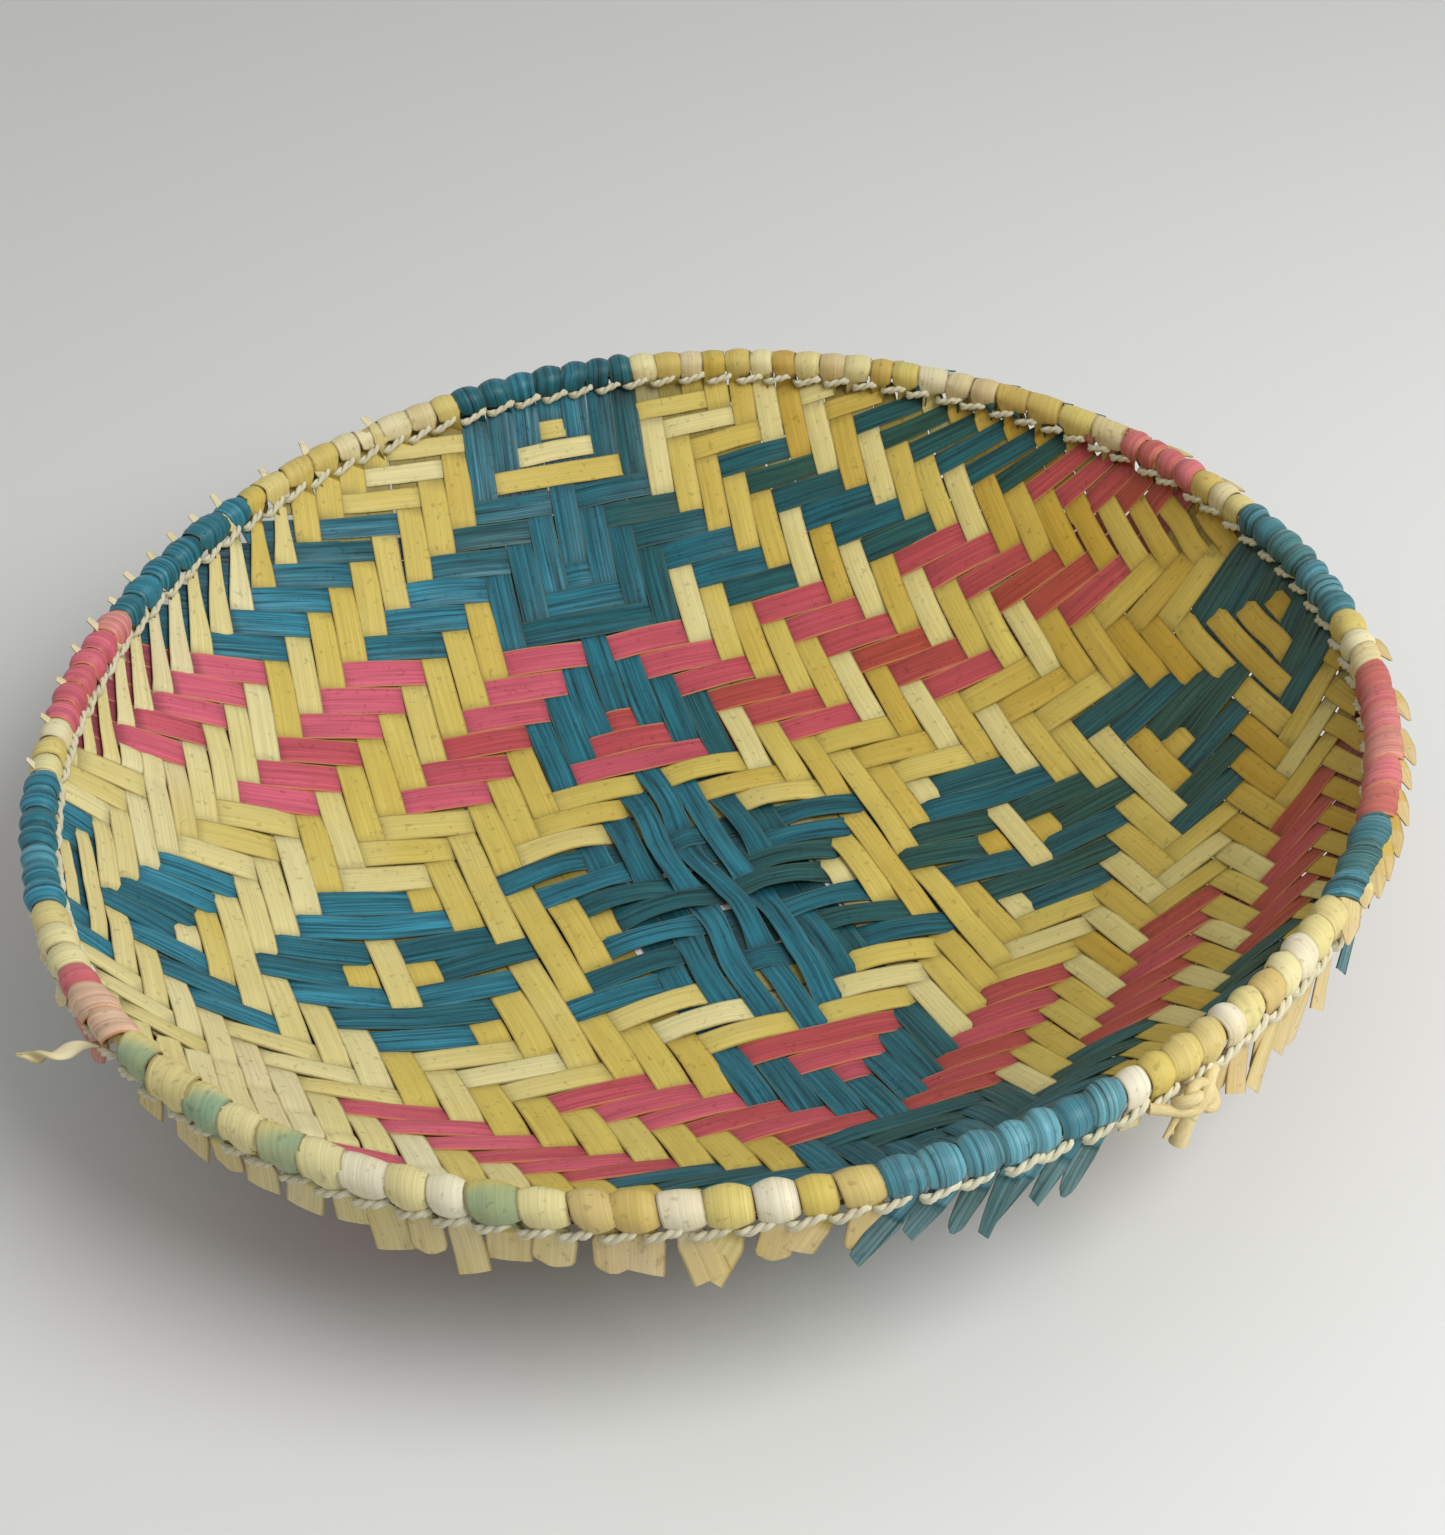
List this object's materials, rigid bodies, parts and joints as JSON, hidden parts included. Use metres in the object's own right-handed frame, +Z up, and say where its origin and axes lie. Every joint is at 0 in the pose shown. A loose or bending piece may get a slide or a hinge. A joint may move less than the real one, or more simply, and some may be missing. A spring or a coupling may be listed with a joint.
{
  "type": "sifter basket",
  "caption": "Round shallow ring basket for sifting: a twill mat of dyed and natural leaf strips pressed into a hoop, its ends folded over and bound with cord.",
  "frame": {"origin": "centre of the flat underside that the basket stands on", "axes": "+Z up through the open mouth, +Y from front to back along the warp strips, +X to the right along the weft strips"},
  "size_m": [0.329, 0.3226, 0.0673],
  "materials": {
    "strip_natural": "undyed straw-coloured leaf strip, satin",
    "strip_teal": "teal-dyed leaf strip, satin",
    "strip_pink": "pink-red-dyed leaf strip, satin",
    "hoop_cane": "peeled cane, matte",
    "binding_fibre": "pale twisted plant fibre, matte"
  },
  "bodies": {
    "root": {"binding_cord_inner": "binding_fibre", "binding_cord_outer": "binding_fibre", "cord_knot": "binding_fibre", "cord_knot_end_1": "binding_fibre", "cord_knot_end_2": "binding_fibre", "loose_strip_end": "strip_natural", "rim_hoop": "hoop_cane", "warp_band_01": "strip_natural", "warp_band_02": "strip_natural", "warp_band_03": "strip_natural", "warp_band_04": "strip_natural", "warp_band_05": "strip_natural", "warp_band_06": "strip_natural", "warp_band_07": "strip_teal", "warp_band_08": "strip_teal", "warp_band_09": "strip_teal", "warp_band_10": "strip_natural", "warp_band_11": "strip_natural", "warp_band_12": "strip_natural", "warp_band_13": "strip_natural", "warp_band_14": "strip_natural", "warp_band_15": "strip_natural", "weft_band_01": "strip_natural", "weft_band_02": "strip_teal", "weft_band_03": "strip_teal", "weft_band_04": "strip_pink", "weft_band_05": "strip_pink", "weft_band_06": "strip_natural", "weft_band_07": "strip_teal", "weft_band_08": "strip_teal", "weft_band_09": "strip_teal", "weft_band_10": "strip_natural", "weft_band_11": "strip_pink", "weft_band_12": "strip_pink", "weft_band_13": "strip_teal", "weft_band_14": "strip_teal", "weft_band_15": "strip_natural"}
  },
  "joints": []
}
